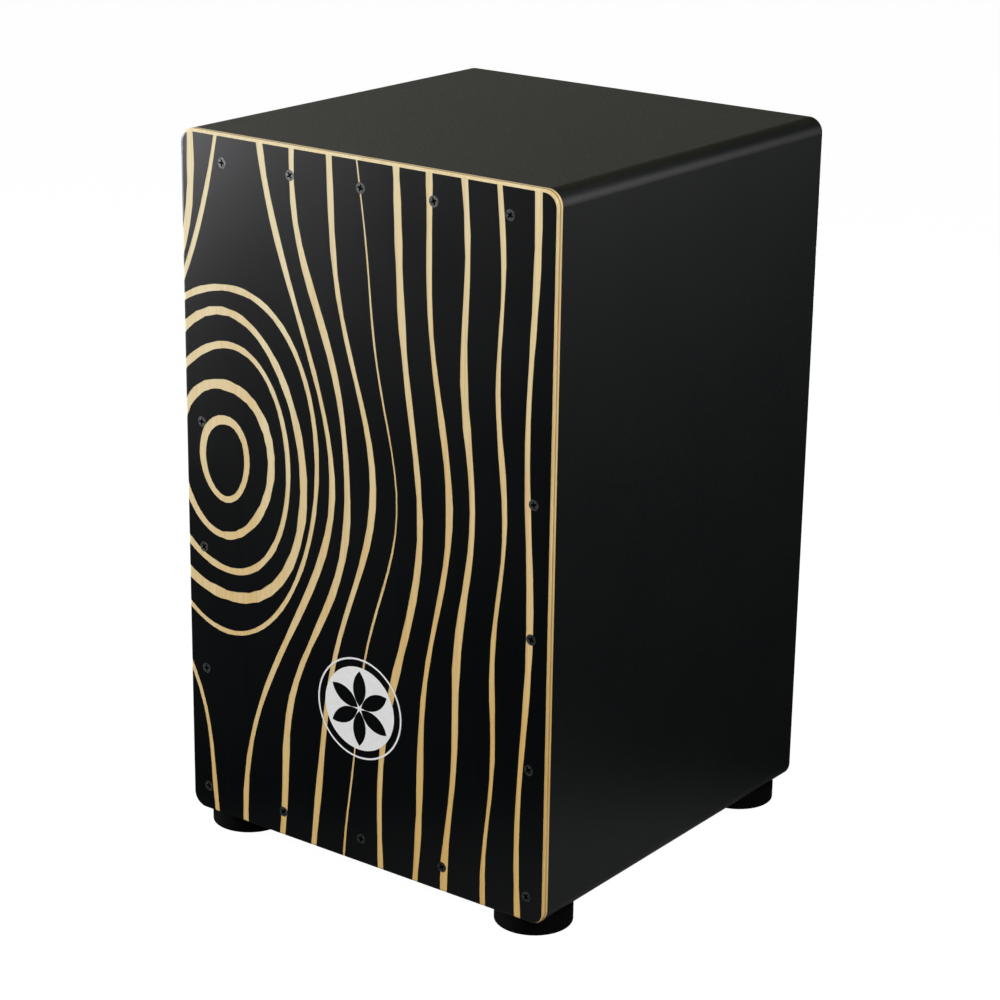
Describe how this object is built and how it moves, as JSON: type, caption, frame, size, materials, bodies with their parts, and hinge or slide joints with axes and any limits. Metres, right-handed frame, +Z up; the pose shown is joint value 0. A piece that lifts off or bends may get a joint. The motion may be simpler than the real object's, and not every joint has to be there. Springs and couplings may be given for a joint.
{
  "type": "cajon",
  "caption": "Box drum played sitting on it: rounded black box, thin wood front plate with a wood-grain print, round sound hole, rubber feet, screw-adjusted snare wires.",
  "frame": {"origin": "on the floor, under the middle of the footprint", "axes": "+Z up, the front plate faces -Y, +X to the right as seen from in front"},
  "size_m": [0.29, 0.29, 0.472],
  "materials": {
    "painted_body": "matt black textured paint on board",
    "plywood_front": "three-ply with a satin black print",
    "raw_batten": "bare planed softwood",
    "bar_hardwood": "bare planed hardwood",
    "rubber": "black moulded rubber",
    "black_screw": "black phosphated steel",
    "zinc_steel": "bright zinc plated steel",
    "brass": "bare brass",
    "snare_steel": "coiled spring steel wire",
    "nylon": "natural nylon",
    "bearing_plastic": "black moulded nylon"
  },
  "bodies": {
    "box": {"seat_panel": "painted_body", "left_panel": "painted_body", "right_panel": "painted_body", "bottom_panel": "painted_body", "back_panel": "painted_body", "front_plate": "plywood_front", "front_batten_top": "raw_batten", "front_batten_bottom": "raw_batten", "front_batten_left": "raw_batten", "front_batten_right": "raw_batten", "rear_batten_top": "raw_batten", "rear_batten_bottom": "raw_batten", "rear_batten_left": "raw_batten", "rear_batten_right": "raw_batten", "foot_front_left": "rubber", "foot_front_right": "rubber", "foot_rear_left": "rubber", "foot_rear_right": "rubber", "front_plate_screws": "black_screw", "back_panel_screws": "black_screw", "foot_washers": "zinc_steel", "foot_screws": "zinc_steel", "pivot_block_screws": "zinc_steel", "ferrule": "zinc_steel", "thrust_washer": "nylon", "pivot_block_left": "bearing_plastic", "pivot_block_right": "bearing_plastic"},
    "snare": {"snare_bar": "bar_hardwood", "pivot_pin_left": "zinc_steel", "pivot_pin_right": "zinc_steel", "pivot_spacers": "nylon", "snare_strip_left": "brass", "snare_strip_right": "brass", "snare_strip_screws": "zinc_steel", "snare_wires_left": "snare_steel", "snare_wires_right": "snare_steel", "crank_fork": "zinc_steel", "crank_fork_screws": "zinc_steel"},
    "tension": {"tension_screw": "zinc_steel", "lock_collar": "zinc_steel", "collar_grub_screw": "black_screw"},
    "nut": {"cross_nut": "brass"}
  },
  "joints": [
    {"name": "tension_turn", "type": "hinge", "parent": "box", "child": "tension", "pos_m": [0, -0.082, 0.021], "axis": [0, 0, 1], "range_deg": [0, 1080]},
    {"name": "nut_travel", "type": "slide", "parent": "box", "child": "nut", "axis": [0, 0, 1], "range_m": [-0.0031, 0]},
    {"name": "snare_tilt", "type": "hinge", "parent": "box", "child": "snare", "pos_m": [0, -0.112, 0.247], "axis": [1, 0, 0], "range_deg": [-5.83, 0]}
  ],
  "couplings": [
    {"joint": "nut_travel", "follows": "tension_turn", "m_per_rad": -0.00015915},
    {"joint": "snare_tilt", "follows": "tension_turn", "ratio": -0.0053052}
  ]
}
